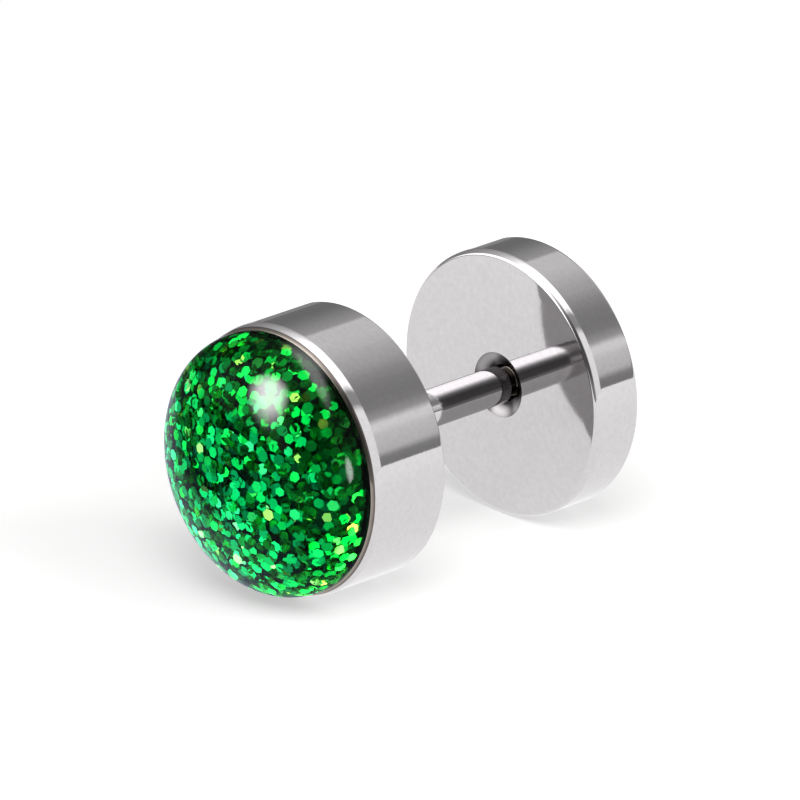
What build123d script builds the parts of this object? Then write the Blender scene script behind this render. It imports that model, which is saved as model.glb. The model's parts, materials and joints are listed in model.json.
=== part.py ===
from build123d import *
import math
import os

# Screw-back stud earring, also called a fake plug: a domed, glitter-filled front disc on a
# thin post, and a plain disc that screws onto the post behind the ear.
# Millimetres. +Z is up and the post runs along +Y, half a disc above the ground, because the
# stud lies on the rims of its two discs. The dome faces -Y. The origin is under the middle.

# Driving dimensions of the front cup, turned from round bar
disc_radius = 4.0          # the two discs are cut from the same bar
cup_depth = 2.85
cup_wall = 0.45            # the steel left round the pocket
cup_lip_round = 0.34       # the polished rounding of the front edge
cup_heel_round = 0.08      # the broken edge at the cup's back
pocket_depth = 0.90

# Driving dimensions of the post, which is soldered into the cup's back
post_radius = 0.555
wearing_gap = 5.95         # from the cup's back to the closed back disc
post_entry = 0.05          # how far the post's full width reaches into the countersink
solder_fillet = 0.12
shoulder_chamfer = 0.05

# Driving dimensions of the screw thread at the post's end
thread_step = 0.03         # the thread's crests stand this far inside the post's surface
thread_depth = 0.14
thread_pitch = 0.25
thread_turns = 4
thread_crest_width = 0.03
thread_root_width = 0.06
thread_relief = 0.15       # the plain neck between the shoulder and the first turn
relief_undercut = 0.02     # the neck is cut this far under the thread's root
tip_chamfer = 0.12
tooth_sink = 0.0385        # how far a tooth's root is sunk, so that it joins without a seam

# Driving dimensions of the glitter and the resin over it
dome_height = 2.05
dome_edge_step = 0.14      # the bare rounded steel left round the poured resin
dome_skirt = 0.20          # height of the steep wall at the dome's foot
dome_shoulder_radius = 1.25
seal_clearance = 0.015     # between the resin, the glitter bed and the steel

# Driving dimensions of the back disc
back_thickness = 1.78
back_edge_round = 0.16
countersink_width = 0.425
countersink_angle = 118.0  # the whole angle of the countersink, in degrees
bore_clearance = 0.03      # lets the disc slide off where the real one is unscrewed
bore_end_clearance = 0.10  # past the post's tip, when the disc is closed
groove_depth = 0.07        # the female thread, cut outwards from the bore

# Stations along the post, from the dome's tip to the back disc's outer face
total_length = dome_height + cup_depth + wearing_gap + back_thickness
dome_tip = -total_length / 2
rim_plane = dome_tip + dome_height
pocket_floor = rim_plane + pocket_depth
cup_back = rim_plane + cup_depth
disc_face = cup_back + wearing_gap
disc_outer = disc_face + back_thickness
shoulder = disc_face + post_entry
thread_start = shoulder + thread_relief
thread_length = thread_turns * thread_pitch
post_tip = thread_start + thread_length + tip_chamfer
bore_end = post_tip + bore_end_clearance

# Radii that follow from the driving dimensions
pocket_radius = disc_radius - cup_wall
dome_radius = disc_radius - dome_edge_step
thread_crest_radius = post_radius - thread_step
thread_root_radius = thread_crest_radius - thread_depth
bore_radius = thread_crest_radius + bore_clearance
countersink_radius = bore_radius + countersink_width

# Every section is drawn with x along the post and y as the radius, then turned once round.
# It is turned from a little past the top, so that where the round wall is made of flat facets
# the stud stands on a facet, and not on an edge that it would roll off.
seam_turn = math.radians(1.43)
section = Plane(
    origin=(0, 0, disc_radius),
    x_dir=(0, 1, 0),
    z_dir=(math.cos(seam_turn), 0, math.sin(seam_turn)),
)
post_axis = Axis((0, 0, disc_radius), (0, 1, 0))


def start_of_helix(helix):
    """The plane across a helix's start, with x away from the post's axis and y along it."""
    start = helix @ 0
    outward = Vector(start.X, 0, start.Z - disc_radius).normalized()
    return Plane(origin=start, x_dir=outward, z_dir=outward.cross(Vector(0, 1, 0)))


def thread_tooth(root_half, crest_half, depth, sink):
    """Outline of one thread tooth, its root sunk into the metal or the air behind it."""
    Polyline(
        (-sink, -root_half),
        (0, -root_half),
        (depth, -crest_half),
        (depth, crest_half),
        (0, root_half),
        (-sink, root_half),
        close=True,
    )


tooth_root_half = (thread_pitch - thread_root_width) / 2
tooth_crest_half = thread_crest_width / 2

# Front cup and post. They are soldered, so they are one solid.
with BuildPart() as front_cup:
    with BuildSketch(section):
        with BuildLine():
            Polyline(
                (pocket_floor, 0),
                (pocket_floor, pocket_radius),
                (rim_plane, pocket_radius),
                (rim_plane, disc_radius - cup_lip_round),
            )
            CenterArc(
                (rim_plane + cup_lip_round, disc_radius - cup_lip_round),
                cup_lip_round, 90, 90,
            )
            Line(
                (rim_plane + cup_lip_round, disc_radius),
                (cup_back - cup_heel_round, disc_radius),
            )
            CenterArc(
                (cup_back - cup_heel_round, disc_radius - cup_heel_round),
                cup_heel_round, 0, 90,
            )
            Polyline(
                (cup_back, disc_radius - cup_heel_round),
                (cup_back, 0),
                (pocket_floor, 0),
            )
        make_face()
    revolve(axis=post_axis)

    with BuildSketch(section):
        with BuildLine():
            Line((cup_back, 0), (cup_back, post_radius + solder_fillet))
            CenterArc(
                (cup_back + solder_fillet, post_radius + solder_fillet),
                solder_fillet, 180, 90,
            )
            Polyline(
                (cup_back + solder_fillet, post_radius),
                (shoulder - shoulder_chamfer, post_radius),
                (shoulder, post_radius - shoulder_chamfer),
                (shoulder, thread_root_radius - relief_undercut),
                (thread_start, thread_root_radius - relief_undercut),
                (thread_start, thread_root_radius),
                (post_tip - tip_chamfer, thread_root_radius),
                (post_tip, thread_root_radius - tip_chamfer),
                (post_tip, 0),
                (cup_back, 0),
            )
        make_face()
    revolve(axis=post_axis)

    with BuildLine() as ridge:
        Helix(
            thread_pitch,
            thread_length - thread_pitch,
            thread_root_radius,
            center=(0, thread_start + thread_pitch / 2, disc_radius),
            direction=(0, 1, 0),
        )
    with BuildSketch(start_of_helix(ridge.line)):
        with BuildLine():
            thread_tooth(tooth_root_half, tooth_crest_half, thread_depth, tooth_sink)
        make_face()
    sweep(path=ridge.line, is_frenet=True)

# The dome's outline is a steep skirt, a shoulder arc and a crown arc, each tangent to the next
shoulder_centre = (rim_plane - dome_skirt, dome_radius - dome_shoulder_radius)
crown_rise = dome_height - dome_skirt
crown_radius = (shoulder_centre[1] ** 2 + crown_rise**2 - dome_shoulder_radius**2) / (
    2 * (crown_rise - dome_shoulder_radius)
)
crown_centre = (dome_tip + crown_radius, 0)
# half the angle of the crown arc, at which it hands over to the shoulder arc
crown_angle = math.degrees(
    math.atan2(shoulder_centre[1], crown_centre[0] - shoulder_centre[0])
)


def dome_outline(depth):
    """The dome's crown and shoulder arcs from the post's axis outwards, a depth under its skin."""
    CenterArc(crown_centre, crown_radius - depth, 180, -crown_angle)
    CenterArc(
        shoulder_centre, dome_shoulder_radius - depth, 180 - crown_angle, crown_angle - 90
    )


# Glitter bed: resin full of glitter. It fills the cup's pocket, stands up past the rim and is
# domed, so that the clear resin covers it evenly.
clear_cover = dome_radius - pocket_radius
bed_depth = clear_cover + seal_clearance
bed_floor = pocket_floor - seal_clearance
seal_radius = pocket_radius - seal_clearance
with BuildPart() as glitter_bed:
    with BuildSketch(section):
        with BuildLine():
            dome_outline(bed_depth)
            Polyline(
                (shoulder_centre[0], seal_radius),
                (bed_floor, seal_radius),
                (bed_floor, 0),
                (dome_tip + bed_depth, 0),
            )
        make_face()
    revolve(axis=post_axis)

# Clear resin: poured over the glitter and the rim, it stands up as a dome.
# Its foot lies on the rounded lip, out to the dome's radius.
seat_round = cup_lip_round + seal_clearance
seat_angle = math.degrees(math.asin((cup_lip_round - dome_edge_step) / seat_round))
seat_centre = (rim_plane + cup_lip_round, disc_radius - cup_lip_round)
foot = seat_centre[0] - seat_round * math.cos(math.radians(seat_angle))
with BuildPart() as resin_dome:
    with BuildSketch(section):
        with BuildLine():
            dome_outline(0)
            Line((shoulder_centre[0], dome_radius), (foot, dome_radius))
            CenterArc(seat_centre, seat_round, 180 - seat_angle, seat_angle)
            Polyline(
                (rim_plane - seal_clearance, seat_centre[1]),
                (rim_plane - seal_clearance, pocket_radius),
                (shoulder_centre[0], pocket_radius),
            )
            dome_outline(clear_cover)
            Line((dome_tip + clear_cover, 0), (dome_tip, 0))
        make_face()
    revolve(axis=post_axis)

# Back disc: a plain disc with a countersunk, threaded blind hole for the post
countersink_depth = countersink_width / math.tan(math.radians(countersink_angle / 2))
bore_mouth = disc_face + countersink_depth
groove_start = bore_mouth + thread_pitch / 2
groove_turns = math.floor((bore_end - groove_start) / thread_pitch)
groove_half = tooth_root_half * groove_depth / thread_depth
with BuildPart() as back_disc:
    with BuildSketch(section):
        with BuildLine():
            Polyline(
                (disc_outer, 0),
                (bore_end, 0),
                (bore_end, bore_radius),
                (bore_mouth, bore_radius),
                (disc_face, countersink_radius),
                (disc_face, disc_radius - back_edge_round),
            )
            CenterArc(
                (disc_face + back_edge_round, disc_radius - back_edge_round),
                back_edge_round, 90, 90,
            )
            Line(
                (disc_face + back_edge_round, disc_radius),
                (disc_outer - back_edge_round, disc_radius),
            )
            CenterArc(
                (disc_outer - back_edge_round, disc_radius - back_edge_round),
                back_edge_round, 0, 90,
            )
            Line((disc_outer, disc_radius - back_edge_round), (disc_outer, 0))
        make_face()
    revolve(axis=post_axis)

    with BuildLine() as groove:
        Helix(
            thread_pitch,
            groove_turns * thread_pitch,
            bore_radius,
            center=(0, groove_start, disc_radius),
            direction=(0, 1, 0),
        )
    with BuildSketch(start_of_helix(groove.line)):
        with BuildLine():
            thread_tooth(groove_half, tooth_crest_half, groove_depth, tooth_sink)
        make_face()
    sweep(path=groove.line, is_frenet=True, mode=Mode.SUBTRACT)

front_cup.part.label = "front_cup"
glitter_bed.part.label = "glitter_bed"
resin_dome.part.label = "resin_dome"
back_disc.part.label = "back_disc"

os.makedirs("parts", exist_ok=True)
export_step(front_cup.part, "parts/front_cup.step")
export_step(glitter_bed.part, "parts/glitter_bed.step")
export_step(resin_dome.part, "parts/resin_dome.step")
export_step(back_disc.part, "parts/back_disc.step")
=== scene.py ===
import json
import math

import bmesh
import bpy
import numpy as np
from mathutils import Matrix, Vector


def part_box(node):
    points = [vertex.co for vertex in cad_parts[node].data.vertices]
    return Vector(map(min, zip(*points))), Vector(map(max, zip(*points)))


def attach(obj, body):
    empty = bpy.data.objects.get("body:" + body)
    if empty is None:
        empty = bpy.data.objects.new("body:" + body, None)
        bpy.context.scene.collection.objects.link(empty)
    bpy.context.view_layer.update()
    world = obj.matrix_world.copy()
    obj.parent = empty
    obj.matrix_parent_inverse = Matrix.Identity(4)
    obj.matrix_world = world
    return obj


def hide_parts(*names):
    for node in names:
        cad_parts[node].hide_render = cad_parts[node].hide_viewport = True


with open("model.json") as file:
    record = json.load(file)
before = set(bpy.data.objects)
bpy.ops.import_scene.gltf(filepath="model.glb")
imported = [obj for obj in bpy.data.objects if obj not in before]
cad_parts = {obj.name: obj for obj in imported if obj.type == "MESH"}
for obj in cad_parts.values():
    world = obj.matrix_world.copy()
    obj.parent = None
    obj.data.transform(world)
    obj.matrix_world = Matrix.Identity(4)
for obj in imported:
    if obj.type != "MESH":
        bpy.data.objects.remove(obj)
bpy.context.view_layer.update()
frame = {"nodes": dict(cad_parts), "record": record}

# Screw-back stud earring: a polished steel cup filled with green glitter under clear resin, a thin
# post soldered to its back, and a plain steel disc that screws onto the post behind the ear.
# It lies on the rims of its two discs. Metres; the post runs along +Y, the dome faces -Y.

MM = 0.001

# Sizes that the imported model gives
cup_low, cup_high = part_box("front_cup")
dome_low, dome_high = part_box("resin_dome")
bed_low, bed_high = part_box("glitter_bed")
disc_low, disc_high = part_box("back_disc")
ear_post = next(m for m in frame["record"]["mounts"] if m["name"] == "ear_post")
disc_radius = (disc_high.z - disc_low.z) / 2
axis_height = (disc_high.z + disc_low.z) / 2
rim_plane = cup_low.y
post_tip = cup_high.y
dome_tip = dome_low.y
dome_radius = (dome_high.x - dome_low.x) / 2
bed_radius = (bed_high.x - bed_low.x) / 2
bed_depth = bed_low.y - dome_tip           # the clear resin over the glitter
disc_face = disc_low.y
disc_outer = disc_high.y
post_radius = ear_post["dims"]["r_mm"] * MM

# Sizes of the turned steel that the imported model's boxes and mounts don't give
solder_fillet = 0.12 * MM
cup_back = ear_post["pos_m"][1] - ear_post["dims"]["length_mm"] * MM / 2 - solder_fillet
pocket_depth = 0.90 * MM
cup_wall = 0.45 * MM
lip_round = 0.34 * MM        # how far the front edge comes in from the wall
lip_run = 0.46 * MM          # and how far it runs back along the wall
buffed_lip = 37              # degrees of the lip that are buffed; the rest is as it was turned
heel_round = 0.08 * MM
post_entry = 0.05 * MM       # how far the post's full width reaches into the countersink
shoulder_chamfer = 0.05 * MM
thread_step = 0.03 * MM
thread_depth = 0.14 * MM
thread_pitch = 0.25 * MM
thread_turns = 4
thread_crest_width = 0.03 * MM
thread_root_width = 0.06 * MM
tooth_sink = 0.01 * MM       # how far a tooth's root is sunk into the metal
thread_relief = 0.15 * MM
relief_undercut = 0.02 * MM
tip_chamfer = 0.12 * MM
back_edge_round = 0.16 * MM
back_edge_run = 0.27 * MM
face_crown = 0.04 * MM       # buffing has worn the disc's inner face a little towards its edge
countersink_width = 0.425 * MM
countersink_angle = math.radians(118)
bore_clearance = 0.03 * MM
bore_end_clearance = 0.10 * MM
groove_depth = 0.07 * MM

# Sizes of the resin's dome
dome_fullness = 2.3          # 2 would be an ellipse; more is flatter on top and steeper at the rim
dome_skirt = 0.20 * MM
dome_shoulder_radius = 1.25 * MM
wetting = 0.005 * MM         # the resin wets the steel, so its mesh reaches just inside it
soak = 0.03 * MM             # and a little further into the glitter bed

# Glitter: hexagons cut from green metallised film, 0.29 mm across the flats
flake_width = 0.29 * MM
flake_scales = (0.85, 1.08)  # the smallest and the largest flake, as parts of that width
flake_thickness = 0.010 * MM
flakes_per_square_mm = 25
flake_lowest = 0.02 * MM     # the flakes' middles lie this far and more above the glitter bed
flake_highest = 0.17 * MM
flake_tilt = math.radians(42)
glitter_seed = 7

# How finely the meshes are made
segments = 192               # facets round every turned piece
thread_points = 48           # rows of faces in each turn of a thread
post_run_out = 0.3           # of a turn, over which the post's thread rises and fades
bore_run_out = 0.01          # the bore's thread runs on to its ends
edge_loop = 0.02 * MM        # narrow faces beside each rounded edge keep the flats flat
sharp_edge = math.radians(25)
on_axis = 1e-6 * MM          # a section's point closer to the axis than this lies on it
weld = 1e-5 * MM             # points closer together than this become one
slack = 0.005 * MM           # allowed where faces are told apart by their place


def srgb(code):
    """A hex colour as the linear colour that Blender's sockets take."""
    channels = [int(code[i:i + 2], 16) / 255 for i in (1, 3, 5)]
    linear = [c / 12.92 if c <= 0.04045 else ((c + 0.055) / 1.055) ** 2.4 for c in channels]
    return (*linear, 1.0)


def grey(level):
    """A linear colour with no hue."""
    return (level, level, level, 1.0)


def add(tree, kind, inputs=(), stops=(), **settings):
    """Adds one node. settings are its properties, inputs pairs of a socket and its value or link,
    and stops pairs of a place and a colour along a colour ramp.
    """
    made = tree.nodes.new(kind)
    for name, value in settings.items():
        setattr(made, name, value)
    for socket, value in dict(inputs).items():
        if isinstance(value, bpy.types.NodeSocket):
            tree.links.new(value, made.inputs[socket])
        else:
            made.inputs[socket].default_value = value
    if stops:
        elements = made.color_ramp.elements
        while len(elements) < len(stops):
            elements.new(0.5)
        for element, (place, colour) in zip(elements, stops):
            element.position = place
            element.color = colour
    return made


# Materials


def new_material(name):
    """An empty material and its shader node."""
    material = bpy.data.materials.new(name)
    material.use_nodes = True
    tree = material.node_tree
    tree.nodes.clear()
    shader = add(tree, "ShaderNodeBsdfPrincipled")
    add(tree, "ShaderNodeOutputMaterial", {"Surface": shader.outputs["BSDF"]})
    return material, tree, shader


def polished_steel():
    """316L surgical steel, turned and buffed: a near mirror with a faint mottle from the buffing."""
    material, tree, shader = new_material("steel_316l_buffed")
    place = add(tree, "ShaderNodeTexCoord").outputs["Object"]
    mottle_size = 0.14 * MM
    grain_size = 0.06 * MM
    mottle = add(tree, "ShaderNodeTexNoise", {"Vector": place, "Scale": 1 / mottle_size, "Detail": 8})
    grain = add(tree, "ShaderNodeTexNoise", {"Vector": place, "Scale": 1 / grain_size, "Detail": 2})
    tone = add(tree, "ShaderNodeValToRGB", {"Fac": mottle.outputs["Fac"]},
               stops=[(0.3, srgb("#c2bfc1")), (0.7, srgb("#c8c6c7"))])
    gloss = add(tree, "ShaderNodeMapRange", {
        "Value": grain.outputs["Fac"], "From Min": 0.3, "From Max": 0.7, "To Min": 0.04, "To Max": 0.07,
    })
    relief = add(tree, "ShaderNodeBump", {
        "Height": grain.outputs["Fac"], "Strength": 0.02, "Distance": 0.01 * MM,
    })
    shader.inputs["Metallic"].default_value = 1.0
    tree.links.new(tone.outputs["Color"], shader.inputs["Base Color"])
    tree.links.new(gloss.outputs["Result"], shader.inputs["Roughness"])
    tree.links.new(relief.outputs["Normal"], shader.inputs["Normal"])
    return material


def turned_shaded_steel(name, ring_size, dark, light, roughness):
    """The same steel as the lathe tool or the drill left it: darker and duller, with turning rings. On
    the thread, in the bore and in the countersink the darkness is painted shade.
    """
    material, tree, shader = new_material(name)
    place = add(tree, "ShaderNodeTexCoord").outputs["Object"]
    centred = add(tree, "ShaderNodeMapping", {"Vector": place, "Location": (0, 0, -axis_height)})
    # a Wave texture draws one ring in each twentieth of its unit, so the scale is a twentieth too
    rings = add(tree, "ShaderNodeTexWave", {
        "Vector": centred.outputs["Vector"], "Scale": 1 / (20 * ring_size),
        "Distortion": 0.6, "Detail": 2,
    }, wave_type="RINGS", rings_direction="Y")
    tone = add(tree, "ShaderNodeValToRGB", {"Fac": rings.outputs["Fac"]},
               stops=[(0.0, srgb(dark)), (1.0, srgb(light))])
    relief = add(tree, "ShaderNodeBump", {
        "Height": rings.outputs["Fac"], "Strength": 0.5, "Distance": 0.008 * MM,
    })
    shader.inputs["Metallic"].default_value = 1.0
    shader.inputs["Roughness"].default_value = roughness
    tree.links.new(tone.outputs["Color"], shader.inputs["Base Color"])
    tree.links.new(relief.outputs["Normal"], shader.inputs["Normal"])
    return material


def clear_resin():
    """Cast epoxy, poured and left to dome: water-clear and glossy, bending light as plastic does."""
    material, tree, shader = new_material("epoxy_doming_resin")
    shader.inputs["Base Color"].default_value = srgb("#f4faf6")
    shader.inputs["Transmission Weight"].default_value = 1.0
    shader.inputs["Roughness"].default_value = 0.0
    shader.inputs["IOR"].default_value = 1.5
    return material


def glitter_film():
    """Green metallised polyester film: each flake is a tiny satin mirror of its own shade. The shades'
    spread from dark to bright stands partly for the flakes' tilt, as painted light and shade, and the
    palest few are painted glints.
    """
    material, tree, shader = new_material("polyester_glitter_film")
    shade = add(tree, "ShaderNodeAttribute", attribute_name="shade").outputs["Fac"]
    tone = add(tree, "ShaderNodeValToRGB", {"Fac": shade}, stops=[
        (0.0, srgb("#005a26")),
        (0.3, srgb("#009a3c")),
        (0.6, srgb("#00c44a")),
        (0.88, srgb("#16e25a")),
        (0.955, srgb("#4cfa7a")),
        # the last stops give a few flakes a pale tint: painted glints
        (0.97, srgb("#a8ff70")),
    ])
    shader.inputs["Metallic"].default_value = 1.0
    shader.inputs["Roughness"].default_value = 0.25
    tree.links.new(tone.outputs["Color"], shader.inputs["Base Color"])
    return material


def glitter_ground():
    """Resin full of glitter, seen between the upper flakes: dark green, with dim flakes deeper in it."""
    material, tree, shader = new_material("epoxy_glitter_mass")
    place = add(tree, "ShaderNodeTexCoord").outputs["Object"]
    cells = add(tree, "ShaderNodeTexVoronoi", {"Vector": place, "Scale": 1 / flake_width},
                voronoi_dimensions="3D", feature="F1")
    pick = add(tree, "ShaderNodeSeparateColor", {"Color": cells.outputs["Color"]}).outputs["Red"]
    tone = add(tree, "ShaderNodeValToRGB", {"Fac": pick}, stops=[
        (0.3, srgb("#01361c")),
        (0.5, srgb("#01582c")),
        (0.8, srgb("#01803e")),
        (1.0, srgb("#02a054")),
    ])
    shader.inputs["Roughness"].default_value = 0.6
    shader.inputs["Specular IOR Level"].default_value = 0.0
    tree.links.new(tone.outputs["Color"], shader.inputs["Base Color"])
    return material


def resin_glare(tree):
    """1 for a ray that the resin's skin mirrors, and 0 for others. The steel isn't as smooth.

    The lens has a polarising filter, which takes away most of the resin's glare but not the steel's.
    """
    path = add(tree, "ShaderNodeLightPath").outputs
    return add(tree, "ShaderNodeMath", {0: path["Is Singular Ray"], 1: path["Is Reflection Ray"]},
               operation="MULTIPLY").outputs[0]


def glitter_light(tree):
    """1 for a ray that has entered the resin and left it again, and 0 for others."""
    path = add(tree, "ShaderNodeLightPath").outputs
    return add(tree, "ShaderNodeMath", {0: path["Transmission Depth"], 1: 1.5},
               operation="GREATER_THAN").outputs[0]


def floor_light(tree):
    """1 for a ray by which the surroundings light the white floor, and 0 for others.

    It has been scattered. So has a ray from the mass under the glitter, but only three steps from
    the camera: it has entered the resin, been scattered and left the resin again.
    """
    path = add(tree, "ShaderNodeLightPath").outputs
    scattered = add(tree, "ShaderNodeMath", {0: path["Diffuse Depth"], 1: 0.5}, operation="GREATER_THAN")
    early = add(tree, "ShaderNodeMath", {0: path["Ray Depth"], 1: 3.5}, operation="LESS_THAN")
    by_ground = add(tree, "ShaderNodeMath", {0: glitter_light(tree), 1: early.outputs[0]},
                    operation="MULTIPLY")
    return add(tree, "ShaderNodeMath", {0: scattered.outputs[0], 1: by_ground.outputs[0]},
               operation="SUBTRACT", use_clamp=True).outputs[0]


def opal_floor():
    """Opal acrylic that glows: white, with soft shadows that the steel mirrors only faintly. Its glow is
    painted light, and what the steel, the glitter and the resin's skin see in it are painted
    reflections.
    """
    material, tree, shader = new_material("opal_acrylic_table")
    shader.inputs["Base Color"].default_value = srgb("#e0e0df")
    shader.inputs["Roughness"].default_value = 0.9
    shader.inputs["Specular IOR Level"].default_value = 0.1
    shader.inputs["Emission Color"].default_value = srgb("#ffffff")
    place = add(tree, "ShaderNodeTexCoord").outputs["Object"]
    parts = add(tree, "ShaderNodeSeparateXYZ", {0: place}).outputs
    path = add(tree, "ShaderNodeLightPath").outputs

    def across(axis, start, end, low, high):
        """Goes smoothly from low to high between two places on the table, in millimetres."""
        return add(tree, "ShaderNodeMapRange", {
            "Value": parts[axis],
            "From Min": start * MM, "From Max": end * MM, "To Min": low, "To Max": high,
        }, interpolation_type="SMOOTHSTEP").outputs["Result"]

    # painted light: the sheet's glow grows away from the stud, so that it stays white up to its edges
    away = add(tree, "ShaderNodeVectorMath", {0: place}, operation="LENGTH")
    glow = add(tree, "ShaderNodeMapRange", {
        "Value": away.outputs["Value"],
        "From Min": 9 * MM, "From Max": 30 * MM, "To Min": 0.49, "To Max": 0.75,
    })
    tree.links.new(glow.outputs["Result"], shader.inputs["Emission Strength"])

    # painted reflection: what the steel mirrors is a glow without shadows that only mirrors see, half as
    # bright where one mirror shows it in another
    again = add(tree, "ShaderNodeMath", {0: path["Ray Depth"], 1: 1.5}, operation="GREATER_THAN")
    lit = add(tree, "ShaderNodeMapRange", {"Value": again.outputs[0], "To Min": 1.2, "To Max": 0.6})
    painted_steel_reflection = add(tree, "ShaderNodeEmission", {"Color": grey(1.0), "Strength": lit.outputs["Result"]})

    # painted reflection: what the glitter mirrors is a cool glow in front of the dome and under it,
    # which only the glitter sees
    painted_tint = add(tree, "ShaderNodeValToRGB", {"Fac": across("X", -3, 6, 0.0, 1.0)}, stops=[
        (0.0, (0.9, 1.0, 2.1, 1.0)),
        (0.45, (0.9, 1.0, 1.5, 1.0)),
        (1.0, (0.4, 0.45, 0.5, 1.0)),
    ])
    far_left = across("Y", -2.5, 0.5, 3.0, 0.08)
    near_dome = across("X", -4, -6.5, 3.0, far_left)
    level = across("Y", -10.5, -8, 1.7, near_dome)
    painted_flake_reflection = add(tree, "ShaderNodeEmission", {"Color": painted_tint.outputs["Color"], "Strength": level})
    # and a warm glow close under the dome that only the glitter sees, which makes its lowest flakes
    # sparkle: painted glints
    rightwards = across("X", -1.8, -0.8, 0.0, 12.0)
    painted_sparkle_glow = add(tree, "ShaderNodeEmission", {
        "Color": (1.0, 0.3, 0.08, 1.0), "Strength": across("Y", -5.8, -5.0, 0.0, rightwards),
    })
    both = add(tree, "ShaderNodeAddShader", {0: painted_flake_reflection.outputs[0], 1: painted_sparkle_glow.outputs[0]})
    # the floor is spared the green that the flakes would throw back on it
    dim = add(tree, "ShaderNodeEmission", {"Color": grey(1.0), "Strength": 0.1})
    below = add(tree, "ShaderNodeMixShader", {
        0: floor_light(tree), 1: both.outputs[0], 2: dim.outputs[0],
    })

    # painted reflection: what the resin mirrors through the filter is a bluish glow that only its skin
    # sees, strongest at a low angle along the dome's left edge
    leftwards = across("X", 4, -3, 0.06, 0.7)
    painted_glare_level = across("Y", -11.5, -4.5, 0.04, leftwards)
    dark = add(tree, "ShaderNodeEmission", {"Color": srgb("#e4e2ff"), "Strength": painted_glare_level})

    by_glitter = glitter_light(tree)
    lower = add(tree, "ShaderNodeMixShader", {0: by_glitter, 1: painted_steel_reflection.outputs[0], 2: below.outputs[0]})
    mirrored = add(tree, "ShaderNodeMixShader", {
        0: resin_glare(tree), 1: lower.outputs[0], 2: dark.outputs[0],
    })
    # the steel shows a quarter of the sheet itself too, with its shadows, and the resin none of it
    glossy = add(tree, "ShaderNodeMath", {0: path["Is Glossy Ray"], 1: 0.75}, operation="MULTIPLY")
    by_resin = add(tree, "ShaderNodeMath", {0: by_glitter, 1: resin_glare(tree)}, operation="MAXIMUM")
    share = add(tree, "ShaderNodeMath", {0: glossy.outputs[0], 1: by_resin.outputs[0]},
                operation="MAXIMUM")
    seen = add(tree, "ShaderNodeMixShader", {
        0: share.outputs[0], 1: shader.outputs[0], 2: mirrored.outputs[0],
    })
    tree.links.new(seen.outputs[0], tree.nodes["Material Output"].inputs["Surface"])
    return material


# Turned pieces


def arc(centre, reach, start, end, steps=12):
    """Points of an arc in the turning section: centre and reach are (along, out), angles in degrees."""
    angles = np.radians(np.linspace(start, end, steps + 1))
    along = centre[0] + reach[0] * np.cos(angles)
    out = centre[1] + reach[1] * np.sin(angles)
    return list(zip(along, out))


def turned(name, section, materials, slot_of=None):
    """A closed mesh turned about the post's axis from a section of (along, out) points."""
    builder = bmesh.new()
    angles = np.linspace(0, 2 * math.pi, segments, endpoint=False)
    rows = []
    for along, out in section:
        if out < on_axis:
            rows.append([builder.verts.new((0, along, axis_height))])
        else:
            rows.append([
                builder.verts.new((out * math.cos(a), along, axis_height + out * math.sin(a)))
                for a in angles
            ])
    for index, (row, following) in enumerate(zip(rows, rows[1:])):
        for i in range(segments):
            j = (i + 1) % segments
            corners = [row[i % len(row)], row[j % len(row)], following[j % len(following)],
                       following[i % len(following)]]
            face = builder.faces.new(list(dict.fromkeys(corners)))
            face.smooth = True
            face.material_index = slot_of(section[index], section[index + 1]) if slot_of else 0
    bmesh.ops.remove_doubles(builder, verts=builder.verts, dist=weld)
    bmesh.ops.recalc_face_normals(builder, faces=builder.faces)
    mesh = bpy.data.meshes.new(name)
    builder.to_mesh(mesh)
    builder.free()
    for material in materials:
        mesh.materials.append(material)
    mesh.set_sharp_from_angle(angle=sharp_edge)
    piece = bpy.data.objects.new(name, mesh)
    bpy.context.scene.collection.objects.link(piece)
    return piece


# Stations and radii that follow from the sizes
pocket_radius = disc_radius - cup_wall
shoulder = disc_face + post_entry
thread_start = shoulder + thread_relief
thread_crest_radius = post_radius - thread_step
thread_root_radius = thread_crest_radius - thread_depth
bore_radius = thread_crest_radius + bore_clearance
bore_end = post_tip + bore_end_clearance
countersink_radius = bore_radius + countersink_width
bore_mouth = disc_face + countersink_width / math.tan(countersink_angle / 2)
bore_turns = float(int((bore_end - bore_mouth - thread_pitch) / thread_pitch))  # whole turns
buffed_radius = disc_radius - lip_round * (1 - math.cos(math.radians(buffed_lip)))


def cup_and_post_section():
    """From the pocket's floor over the lip and the wall, then along the post to its tip."""
    pocket_floor = rim_plane + pocket_depth
    return [
        (pocket_floor, 0),
        (pocket_floor, pocket_radius),
        (rim_plane, pocket_radius),
        *arc((rim_plane + lip_run, disc_radius - lip_round), (lip_run, lip_round), 180, 90, 20),
        (rim_plane + lip_run + edge_loop, disc_radius),
        (cup_back - heel_round - edge_loop, disc_radius),
        *arc((cup_back - heel_round, disc_radius - heel_round), (heel_round, heel_round), 90, 0, 6),
        (cup_back, disc_radius - heel_round - edge_loop),
        (cup_back, post_radius + solder_fillet + edge_loop),
        *arc((cup_back + solder_fillet, post_radius + solder_fillet), (solder_fillet, solder_fillet),
             180, 270, 8),
        (cup_back + solder_fillet + edge_loop, post_radius),
        (shoulder - shoulder_chamfer, post_radius),
        (shoulder, post_radius - shoulder_chamfer),
        (shoulder, thread_root_radius - relief_undercut),
        (thread_start, thread_root_radius - relief_undercut),
        (thread_start, thread_root_radius),
        (post_tip - tip_chamfer, thread_root_radius),
        (post_tip, thread_root_radius - tip_chamfer),
        (post_tip, 0),
    ]


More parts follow.
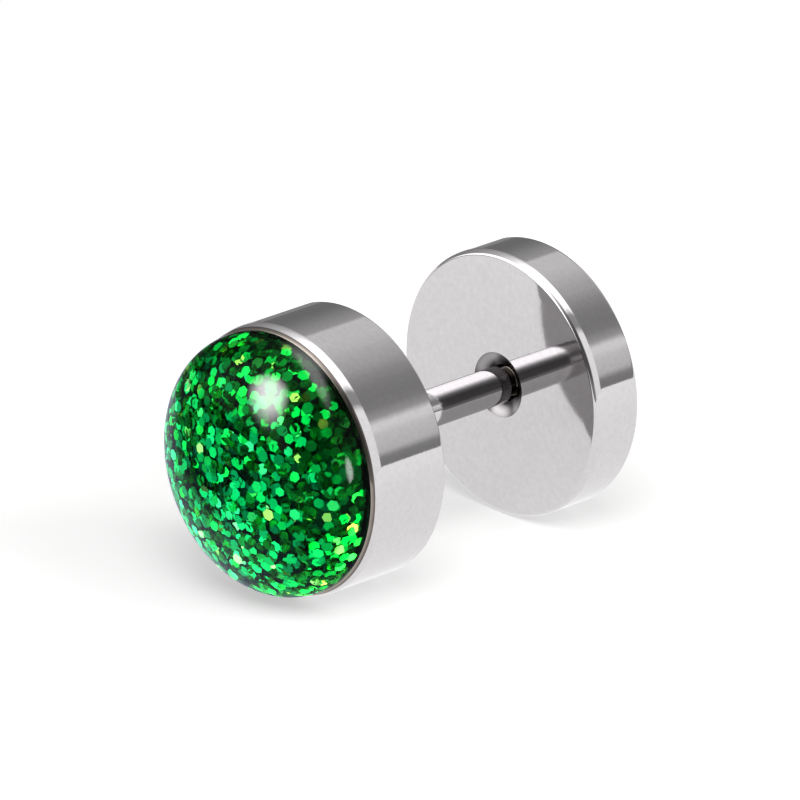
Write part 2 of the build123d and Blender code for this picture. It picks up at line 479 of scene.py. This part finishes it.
def back_disc_section():
    """From the bore's end out to the countersink, over the crowned face and round to the back.

    The bore is as wide as its thread's grooves, and the thread's crests are added to it.
    """
    face_edge = disc_radius - back_edge_round
    return [
        (bore_end, 0),
        (bore_end, bore_radius + groove_depth),
        (bore_mouth, bore_radius + groove_depth),
        (bore_mouth, bore_radius),
        *[(disc_face + face_crown * t * t, countersink_radius + t * (face_edge - countersink_radius))
          for t in np.linspace(0, 1, 9)],
        *arc((disc_face + face_crown + back_edge_run, face_edge), (back_edge_run, back_edge_round),
             180, 90, 16)[1:],
        (disc_face + face_crown + back_edge_run + edge_loop, disc_radius),
        (disc_outer - back_edge_round - edge_loop, disc_radius),
        *arc((disc_outer - back_edge_round, disc_radius - back_edge_round),
             (back_edge_round, back_edge_round), 90, 0, 12),
        (disc_outer, disc_radius - back_edge_round - edge_loop),
        (disc_outer, 0),
    ]


def dome_section():
    """The skin is fuller than an ellipse, the foot covers the rim and the hollow takes the bed."""
    height = rim_plane - dome_tip
    power = 2 / dome_fullness
    skin = [
        (rim_plane - height * math.cos(t) ** power, dome_radius * math.sin(t) ** power)
        for t in np.linspace(0, math.pi / 2, 80)
    ]
    seat_centre = (rim_plane + lip_run, disc_radius - lip_round)
    seat_reach = (lip_run - wetting, lip_round - wetting)
    seat_angle = math.degrees(math.acos((dome_radius - seat_centre[1]) / seat_reach[1]))

    # the glitter bed's outline is a crown arc and a shoulder arc
    shoulder_centre = (rim_plane - dome_skirt, dome_radius - dome_shoulder_radius)
    crown_rise = height - dome_skirt
    crown_radius = (shoulder_centre[1] ** 2 + crown_rise ** 2 - dome_shoulder_radius ** 2) / (
        2 * (crown_rise - dome_shoulder_radius)
    )
    crown_centre = (dome_tip + crown_radius, 0)
    crown_angle = math.degrees(math.atan2(shoulder_centre[1], crown_centre[0] - shoulder_centre[0]))
    crown = crown_radius - bed_depth - soak
    rounding = dome_shoulder_radius - bed_depth - soak
    bed_outline = [
        *arc(crown_centre, (crown, crown), 180, 180 - crown_angle, 40),
        *arc(shoulder_centre, (rounding, rounding), 180 - crown_angle, 90, 20)[1:],
    ]
    return [
        *skin,
        *arc(seat_centre, seat_reach, 90 + seat_angle, 180, 10),
        (rim_plane + wetting, bed_radius - soak),
        *reversed(bed_outline),
    ]


steel = polished_steel()
# darker steel for the rim's turned ring, and painted shade on the post's thread and threaded end
turned_and_shaded = turned_shaded_steel("steel_316l_turned_and_shaded", 0.035 * MM, "#4c4543", "#989088", 0.15)
# the bore nearly black: painted shade
bore_in_shade = turned_shaded_steel("steel_316l_drilled_shaded", 0.06 * MM, "#100f0f", "#2c2a2a", 0.4)
# the countersink darker than the buffed steel: painted shade
countersink_in_shade = turned_shaded_steel("steel_316l_countersunk_shaded", 0.09 * MM, "#464445", "#949192", 0.22)
resin = clear_resin()
film = glitter_film()
ground = glitter_ground()


def cup_slot(a, b):
    """1, as turned, for the rim and the lip's inner part, and for the threaded end, which it darkens
    with painted shade; 0, buffed, elsewhere.
    """
    at_rim = max(a[0], b[0]) < rim_plane + lip_run and max(a[1], b[1]) < buffed_radius + slack
    at_thread = min(a[0], b[0]) > shoulder - slack
    return 1 if at_rim or at_thread else 0


def disc_slot(a, b):
    """0, buffed, for the disc's outside, 1 for the drilled bore and 2 for the countersink; both are
    darkened by painted shade.
    """
    if max(a[1], b[1]) > countersink_radius + slack or max(a[0], b[0]) > bore_end + slack:
        return 0
    return 2 if min(a[0], b[0]) < disc_face + slack else 1


cup = turned("cup_and_post", cup_and_post_section(), [steel, turned_and_shaded], cup_slot)
back = turned("screw_back_disc", back_disc_section(), [steel, bore_in_shade, countersink_in_shade], disc_slot)
dome = turned("clear_dome", dome_section(), [resin])

bed = frame["nodes"]["glitter_bed"]
bed.data.materials.clear()
bed.data.materials.append(ground)


# Threads and glitter, by Geometry Nodes


def new_tree(name, wanted):
    """A geometry tree with its named inputs and one output."""
    tree = bpy.data.node_groups.new(name, "GeometryNodeTree")
    tree.interface.new_socket("Geometry", in_out="OUTPUT", socket_type="NodeSocketGeometry")
    for label, kind in wanted.items():
        tree.interface.new_socket(label, in_out="INPUT", socket_type="NodeSocket" + kind)
    return tree, add(tree, "NodeGroupInput").outputs


def finish_tree(tree, geometry, material):
    """Ends a geometry tree with plain mesh in its material."""
    real = add(tree, "GeometryNodeRealizeInstances", {"Geometry": geometry}).outputs[0]
    coated = add(tree, "GeometryNodeSetMaterial", {"Geometry": real, "Material": material}).outputs[0]
    add(tree, "NodeGroupOutput", {"Geometry": coated})


def thread_tree():
    """A screw thread: one tooth's outline carried along a helix round the post."""
    tree, given = new_tree("screw thread", {
        "Steel": "Material", "Foot radius": "Float", "Depth": "Float", "Inner width": "Float",
        "Outer width": "Float", "Pitch": "Float", "Turns": "Float", "Start": "Float",
        "Axis height": "Float", "Points per turn": "Int", "Run-out": "Float",
    })
    length = add(tree, "ShaderNodeMath", {0: given["Pitch"], 1: given["Turns"]}, operation="MULTIPLY")
    helix = add(tree, "GeometryNodeCurveSpiral", {
        "Resolution": given["Points per turn"], "Rotations": given["Turns"],
        "Start Radius": given["Foot radius"], "End Radius": given["Foot radius"],
        "Height": length.outputs[0],
    }).outputs[0]
    outward = add(tree, "GeometryNodeSetCurveNormal", {"Curve": helix}, mode="Z_UP").outputs[0]
    # the tooth grows from nothing in the first part of a turn, and fades in the last
    gone = add(tree, "GeometryNodeSplineParameter").outputs["Factor"]
    middle = add(tree, "ShaderNodeMath", {0: gone, 1: 0.5}, operation="SUBTRACT").outputs[0]
    to_end = add(tree, "ShaderNodeMath", {
        0: 0.5, 1: add(tree, "ShaderNodeMath", {0: middle}, operation="ABSOLUTE").outputs[0],
    }, operation="SUBTRACT").outputs[0]
    turns_left = add(tree, "ShaderNodeMath", {0: to_end, 1: given["Turns"]}, operation="MULTIPLY")
    # its ends keep a fiftieth of its size, so that their faces stay real ones
    fullness = add(tree, "ShaderNodeMapRange", {
        "Value": turns_left.outputs[0], "From Max": given["Run-out"], "To Min": 0.02,
    }).outputs["Result"]
    faded = add(tree, "GeometryNodeSetCurveRadius", {"Curve": outward, "Radius": fullness}).outputs[0]
    tooth = add(tree, "GeometryNodeCurvePrimitiveQuadrilateral", {
        "Bottom Width": given["Inner width"], "Top Width": given["Outer width"],
        "Height": given["Depth"], "Offset": 0.0,
    }, mode="TRAPEZOID").outputs[0]
    # an outline's own x points to the post's axis, so the tooth stands the other way
    half = add(tree, "ShaderNodeMath", {0: given["Depth"], 1: -0.5}, operation="MULTIPLY").outputs[0]
    on_foot = add(tree, "ShaderNodeCombineXYZ", {"X": half}).outputs[0]
    upright = add(tree, "GeometryNodeTransform", {
        "Geometry": tooth, "Rotation": (0, 0, math.pi / 2), "Translation": on_foot,
    }).outputs[0]
    ridge = add(tree, "GeometryNodeCurveToMesh", {
        "Curve": faded, "Profile Curve": upright, "Fill Caps": True,
    }).outputs[0]
    foot = add(tree, "ShaderNodeCombineXYZ", {"Y": given["Start"], "Z": given["Axis height"]}).outputs[0]
    along_post = add(tree, "GeometryNodeTransform", {
        "Geometry": ridge, "Translation": foot, "Rotation": (-math.pi / 2, 0, 0),
    }).outputs[0]
    finish_tree(tree, along_post, given["Steel"])
    return tree


def glitter_tree():
    """Scatters hexagonal flakes in the clear resin, close over the glitter bed's dome."""
    tree, given = new_tree("glitter in resin", {
        "Bed": "Object", "Film": "Material", "Flakes per square metre": "Float", "Width": "Float",
        "Thickness": "Float", "Rim station": "Float", "Lowest": "Float", "Highest": "Float",
        "Tilt": "Float", "Smallest": "Float", "Largest": "Float", "Seed": "Int",
    })

    def rolled(low, high, draw):
        """A random number for each flake. Each use has its own draw."""
        seed = add(tree, "ShaderNodeMath", {0: given["Seed"], 1: draw}, operation="ADD").outputs[0]
        return add(tree, "FunctionNodeRandomValue", {2: low, 3: high, "Seed": seed},
                   data_type="FLOAT").outputs[1]

    bed_mesh = add(tree, "GeometryNodeObjectInfo", {"Object": given["Bed"]}).outputs["Geometry"]
    scatter = add(tree, "GeometryNodeDistributePointsOnFaces", {
        "Mesh": bed_mesh, "Density": given["Flakes per square metre"], "Seed": given["Seed"],
    }, distribute_method="RANDOM").outputs
    station = add(tree, "ShaderNodeSeparateXYZ", {
        0: add(tree, "GeometryNodeInputPosition").outputs[0],
    }).outputs["Y"]
    hidden = add(tree, "FunctionNodeCompare", {0: station, 1: given["Rim station"]},
                 data_type="FLOAT", operation="GREATER_THAN").outputs[0]
    lift = rolled(given["Lowest"], given["Highest"], 1)
    offset = add(tree, "ShaderNodeVectorMath", {0: scatter["Normal"], "Scale": lift}, operation="SCALE")
    raised = add(tree, "GeometryNodeSetPosition", {
        "Geometry": scatter["Points"], "Offset": offset.outputs[0],
    }).outputs[0]
    seen = add(tree, "GeometryNodeDeleteGeometry", {"Geometry": raised, "Selection": hidden},
               domain="POINT").outputs[0]

    def tilt(draw):
        """Most flakes lie nearly flat and a few stand steeply."""
        bent = add(tree, "ShaderNodeMath", {0: rolled(-1.0, 1.0, draw), 1: 3.0}, operation="POWER")
        return add(tree, "ShaderNodeMath", {0: bent.outputs[0], 1: given["Tilt"]},
                   operation="MULTIPLY").outputs[0]

    lean = add(tree, "ShaderNodeCombineXYZ", {"X": tilt(2), "Y": tilt(3), "Z": rolled(0.0, math.pi, 4)})
    turned_to = add(tree, "FunctionNodeRotateRotation", {
        "Rotation": scatter["Rotation"],
        "Rotate By": add(tree, "FunctionNodeEulerToRotation", {"Euler": lean.outputs[0]}).outputs[0],
    }, rotation_space="LOCAL").outputs[0]
    # a hexagon's corners stand out from its middle by more than half its width across the flats
    corner = add(tree, "ShaderNodeMath", {0: given["Width"], 1: 2 * math.cos(math.pi / 6)},
                 operation="DIVIDE").outputs[0]
    flake = add(tree, "GeometryNodeMeshCylinder", {
        "Vertices": 6, "Radius": corner, "Depth": given["Thickness"],
    }).outputs["Mesh"]
    flakes = add(tree, "GeometryNodeInstanceOnPoints", {
        "Points": seen, "Instance": flake, "Rotation": turned_to,
        "Scale": rolled(given["Smallest"], given["Largest"], 5),
    }).outputs["Instances"]
    shaded = add(tree, "GeometryNodeStoreNamedAttribute", {
        "Geometry": flakes, "Name": "shade", "Value": rolled(0.0, 1.0, 6),
    }, data_type="FLOAT", domain="INSTANCE").outputs[0]
    finish_tree(tree, shaded, given["Film"])
    return tree


def from_nodes(name, tree, values):
    """Runs a geometry tree with its inputs set, and returns the result as a plain mesh object."""
    piece = bpy.data.objects.new(name, bpy.data.meshes.new(name))
    bpy.context.scene.collection.objects.link(piece)
    modifier = piece.modifiers.new(name, "NODES")
    modifier.node_group = tree
    sockets = {s.name: s.identifier for s in tree.interface.items_tree if s.in_out == "INPUT"}
    for label, value in values.items():
        modifier[sockets[label]] = value
    shown = piece.evaluated_get(bpy.context.evaluated_depsgraph_get())
    piece.data = bpy.data.meshes.new_from_object(shown)
    piece.modifiers.clear()
    piece.data.name = name
    return piece


def join_into(piece, extra, slot):
    """Adds another piece's mesh to a turned one, as faces of the given material slot."""
    builder = bmesh.new()
    builder.from_mesh(piece.data)
    own = len(builder.faces)
    builder.from_mesh(extra.data)
    builder.faces.ensure_lookup_table()
    added = builder.faces[own:]
    for face in added:
        face.material_index = slot
    bmesh.ops.recalc_face_normals(builder, faces=added)
    builder.to_mesh(piece.data)
    builder.free()
    bpy.data.objects.remove(extra)


thread = thread_tree()
# the post's thread is darkened by painted shade
join_into(cup, from_nodes("post_thread", thread, {
    "Steel": turned_and_shaded,
    "Foot radius": thread_root_radius - tooth_sink,
    "Depth": thread_depth + tooth_sink,
    "Inner width": thread_pitch - thread_root_width,
    "Outer width": thread_crest_width,
    "Pitch": thread_pitch,
    "Turns": thread_turns - 1.0,  # a turn less, because the tooth itself is about a pitch wide
    "Start": thread_start + thread_pitch / 2,
    "Axis height": axis_height,
    "Points per turn": thread_points,
    "Run-out": post_run_out,
}), 1)
# the bore's thread nearly black: painted shade
join_into(back, from_nodes("bore_thread", thread, {
    "Steel": bore_in_shade,
    "Foot radius": bore_radius,
    "Depth": groove_depth + tooth_sink,
    "Inner width": thread_crest_width,
    "Outer width": thread_pitch - thread_root_width,
    "Pitch": thread_pitch,
    "Turns": bore_turns,
    "Start": bore_mouth + thread_pitch / 2,
    "Axis height": axis_height,
    "Points per turn": thread_points,
    "Run-out": bore_run_out,
}), 1)
glitter = from_nodes("glitter_flakes", glitter_tree(), {
    "Bed": bed,
    "Film": film,
    "Flakes per square metre": flakes_per_square_mm / MM ** 2,
    "Width": flake_width,
    "Thickness": flake_thickness,
    "Rim station": rim_plane - flake_width / 4,  # flakes past this would cut into the rim
    "Lowest": flake_lowest,
    "Highest": flake_highest,
    "Tilt": flake_tilt,
    "Smallest": flake_scales[0],
    "Largest": flake_scales[1],
    "Seed": glitter_seed,
})

for piece, body, node, slot in (
    (cup, "front", "front_cup", "steel"),
    (dome, "front", "resin_dome", "resin"),
    (back, "back", "back_disc", "steel"),
):
    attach(piece, body)
    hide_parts(node)
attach(glitter, "front")


# Floor, studio light and camera


def lay_floor():
    """A white sheet under the stud, its corners in millimetres. Past it the steel mirrors the tent."""
    corners = [(-32, -100), (6, -100), (24, -12), (92, 8), (92, 95), (-32, 95)]
    mesh = bpy.data.meshes.new("white_floor")
    mesh.from_pydata([(x * MM, y * MM, 0) for x, y in corners], [], [tuple(range(len(corners)))])
    mesh.materials.append(opal_floor())
    floor = bpy.data.objects.new("white_floor", mesh)
    bpy.context.scene.collection.objects.link(floor)


def light_studio():
    """The light tent round the stud, as a world: what the polished steel mirrors.

    phi goes round the post from the right-hand horizon over the top to the left-hand one. Each
    table gives the tent's brightness against phi: behind the stud, beside it and in front of it.
    """
    world = bpy.data.worlds.new("light_tent")
    bpy.context.scene.world = world
    world.use_nodes = True
    tree = world.node_tree
    tree.nodes.clear()
    direction = add(tree, "ShaderNodeTexCoord").outputs["Generated"]
    parts = add(tree, "ShaderNodeSeparateXYZ", {0: direction}).outputs
    turn = add(tree, "ShaderNodeMath", {0: parts["Z"], 1: parts["X"]}, operation="ARCTAN2").outputs[0]
    path = add(tree, "ShaderNodeLightPath").outputs
    by_glitter = glitter_light(tree)
    # for the glitter the tent goes on below the horizon
    both_ways = add(tree, "ShaderNodeMath", {0: turn}, operation="ABSOLUTE").outputs[0]
    round_post = add(tree, "ShaderNodeMapRange", {
        "Value": by_glitter, "To Min": turn, "To Max": both_ways,
    }).outputs["Result"]
    phi = add(tree, "ShaderNodeMath", {0: round_post, 1: math.pi}, operation="DIVIDE").outputs[0]

    # each pair is an angle phi in degrees and the tent's brightness there
    behind = [(0, 0.30), (4, 0.34), (9, 0.75), (22, 0.88), (27, 1.05), (31, 1.05), (36, 0.5), (44, 0.33),
              (52, 0.31), (62, 0.34), (72, 0.43), (82, 0.58), (92, 0.67), (102, 0.79), (112, 0.86),
              (128, 0.86), (131, 0.50), (142, 0.38), (152, 0.28), (162, 0.22), (180, 0.20)]
    beside = [(0, 1.2), (44, 1.3), (50, 0.4), (60, 0.45), (66, 1.8), (75, 2.2), (110, 2.2), (122, 1.3),
              (135, 0.7), (151, 0.45), (171, 0.3), (180, 0.3)]
    front = [(0, 0.9), (8, 0.7), (14, 0.12), (50, 0.12), (62, 0.3), (72, 0.6), (84, 1.1), (96, 1.8),
             (116, 1.8), (124, 0.8), (134, 0.3), (180, 0.15)]
    # in front, for what is mirrored twice, such as the tent that the post shows by way of the disc
    twice = [(0, 0.3), (10, 0.12), (50, 0.10), (66, 0.25), (74, 0.5), (84, 1.2), (92, 2.1), (102, 3.1),
             (135, 3.2), (152, 2.8), (171, 2.3), (180, 1.8)]

    def rise(axis, start, end, low=0.0, high=1.0):
        """Goes smoothly from low to high between two values of one part of the direction."""
        return add(tree, "ShaderNodeMapRange", {
            "Value": parts[axis], "From Min": start, "From Max": end, "To Min": low, "To Max": high,
        }, interpolation_type="SMOOTHSTEP").outputs["Result"]

    def brightness(table):
        """The tent's brightness at phi, as a colour."""
        stops = [(angle / 180, grey(level)) for angle, level in table]
        return add(tree, "ShaderNodeValToRGB", {"Fac": phi}, stops=stops).outputs["Color"]

    again = add(tree, "ShaderNodeMath", {0: path["Ray Depth"], 1: 1.5}, operation="GREATER_THAN")
    tent = brightness(front)
    for share, table in (
        (again.outputs[0], twice),
        (rise("Y", -0.50, -0.20), beside),
        (rise("Y", 0.56, 0.63), behind),
    ):
        tent = add(tree, "ShaderNodeMix", {0: share, 6: tent, 7: brightness(table)},
                   data_type="RGBA").outputs[2]
    # what the glitter mirrors: dimmer to the right and behind on the left, and a little warmer
    warm = add(tree, "ShaderNodeMix", {0: by_glitter, 6: tent, 7: (1.0, 1.0, 0.75, 1.0)},
               data_type="RGBA", blend_type="MULTIPLY").outputs[2]
    right = rise("X", 0.0, 0.5, 1.0, 0.15)
    left = rise("Y", -0.05, 0.25, 1.0, rise("X", -0.4, -0.7, 1.0, 0.1))
    darker = add(tree, "ShaderNodeMath", {0: right, 1: left}, operation="MULTIPLY").outputs[0]
    # the floor has its own lamps, and the resin's skin shows the tent only through the filter
    by_floor = floor_light(tree)
    by_skin = resin_glare(tree)
    strength = 1.0
    for kind_of_ray, level in ((by_glitter, darker), (by_floor, 0.1), (by_skin, 0.06)):
        strength = add(tree, "ShaderNodeMapRange", {
            "Value": kind_of_ray, "To Min": strength, "To Max": level,
        }).outputs["Result"]
    wall = add(tree, "ShaderNodeBackground", {"Color": warm, "Strength": strength})

    def softbox(sides, edge, level):
        """A lamp. Each side is a direction across it and its half width that way in degrees.

        It fades over edge, a share of the half width, inwards and outwards.
        """
        reaches = [
            add(tree, "ShaderNodeMath", {
                0: add(tree, "ShaderNodeVectorMath", {0: direction, 1: Vector(side).normalized()},
                       operation="DOT_PRODUCT").outputs["Value"],
                1: math.sin(math.radians(half_width)),
            }, operation="DIVIDE").outputs[0]
            for side, half_width in sides
        ]
        off_centre = add(tree, "ShaderNodeVectorMath", {
            0: add(tree, "ShaderNodeCombineXYZ", {"X": reaches[0], "Y": reaches[1]}).outputs[0],
        }, operation="LENGTH").outputs["Value"]
        glow = add(tree, "ShaderNodeMapRange", {
            "Value": off_centre, "From Min": 1 + edge, "From Max": 1 - edge, "To Max": level,
        }, interpolation_type="SMOOTHSTEP").outputs["Result"]
        # the lamp's other image, in the opposite direction, is left out
        facing = Vector(sides[0][0]).cross(Vector(sides[1][0])).normalized()
        ahead = add(tree, "ShaderNodeVectorMath", {0: direction, 1: facing}, operation="DOT_PRODUCT")
        in_front = add(tree, "ShaderNodeMath", {0: ahead.outputs["Value"], 1: 0.0},
                       operation="GREATER_THAN")
        return add(tree, "ShaderNodeMath", {0: glow, 1: in_front.outputs[0]},
                   operation="MULTIPLY").outputs[0]

    # softboxes that only the resin mirrors: the key light above and in front of the dome, a long
    # one over the back that veils the dome's upper right, and a small one far to the right
    key = softbox((((0.307, 0.464, 0.831), 19), ((-0.911, 0.395, 0.116), 11)), 0.55, 17.0)
    strip = softbox((((0.882, -0.451, 0.138), 30), ((0.467, 0.790, -0.398), 10)), 0.5, 3.0)
    small = softbox((((-0.06, 1.0, 0.0), 8), ((-0.08, 0.0, 1.0), 9)), 0.4, 8.0)
    large = add(tree, "ShaderNodeMath", {0: key, 1: strip}, operation="ADD")
    three = add(tree, "ShaderNodeMath", {0: large.outputs[0], 1: small}, operation="ADD")
    shown = add(tree, "ShaderNodeMath", {0: by_skin, 1: by_floor}, operation="SUBTRACT", use_clamp=True)
    lamps = add(tree, "ShaderNodeMath", {0: shown.outputs[0], 1: three.outputs[0]}, operation="MULTIPLY")
    lamp = add(tree, "ShaderNodeBackground", {"Color": grey(1.0), "Strength": lamps.outputs[0]})
    both = add(tree, "ShaderNodeAddShader", {0: wall.outputs[0], 1: lamp.outputs[0]})
    backdrop = add(tree, "ShaderNodeBackground", {"Color": grey(1.0), "Strength": 1.0})
    seen = add(tree, "ShaderNodeMixShader", {
        0: path["Is Camera Ray"], 1: both.outputs[0], 2: backdrop.outputs[0],
    })
    add(tree, "ShaderNodeOutputWorld", {"Surface": seen.outputs[0]})


def hang_floor_lamps():
    """Two softboxes that light only the white floor. They leave the soft shadows close to the discs.

    Each has its place in millimetres and its power in watts.
    """
    lamp_width = 95 * MM
    for name, place, power in (
        ("softbox_right", (102, 37, 71), 0.071),
        ("softbox_front", (52, -47, 109), 0.091),
    ):
        data = bpy.data.lights.new(name, "AREA")
        data.shape = "DISK"
        data.size = lamp_width
        data.energy = power
        lamp = bpy.data.objects.new(name, data)
        spot = Vector(place) * MM
        lamp.matrix_world = Matrix.Translation(spot) @ spot.to_track_quat("Z", "Y").to_matrix().to_4x4()
        lamp.visible_camera = False
        lamp.visible_glossy = False
        lamp.visible_transmission = False
        bpy.context.scene.collection.objects.link(lamp)


def place_camera():
    """The view of the photograph: long lens, from the right of the dome and above."""
    azimuth = math.radians(46.39)
    elevation = math.radians(21.48)
    distance = 233.76 * MM
    aim = Vector((0, 0.185 * MM, axis_height))
    aim_offset = (0.3165 * MM, 0.6596 * MM)   # the picture's middle lies to its right and above it
    data = bpy.data.cameras.new("camera")
    data.sensor_width = 36.0
    data.lens = 368.4
    data.clip_start = 0.01
    data.clip_end = 10.0
    right = Vector((math.cos(azimuth), math.sin(azimuth), 0))
    backward = Vector((
        math.sin(azimuth) * math.cos(elevation),
        -math.cos(azimuth) * math.cos(elevation),
        math.sin(elevation),
    ))
    up = backward.cross(right)
    aim += right * aim_offset[0] + up * aim_offset[1]
    camera = bpy.data.objects.new("camera", data)
    turned_to = Matrix((right, up, backward)).transposed().to_4x4()
    camera.matrix_world = Matrix.Translation(aim + backward * distance) @ turned_to
    bpy.context.scene.collection.objects.link(camera)
    bpy.context.scene.camera = camera


lay_floor()
light_studio()
hang_floor_lamps()
place_camera()

view = bpy.context.scene.view_settings
view.view_transform = "Standard"
view.look = "None"
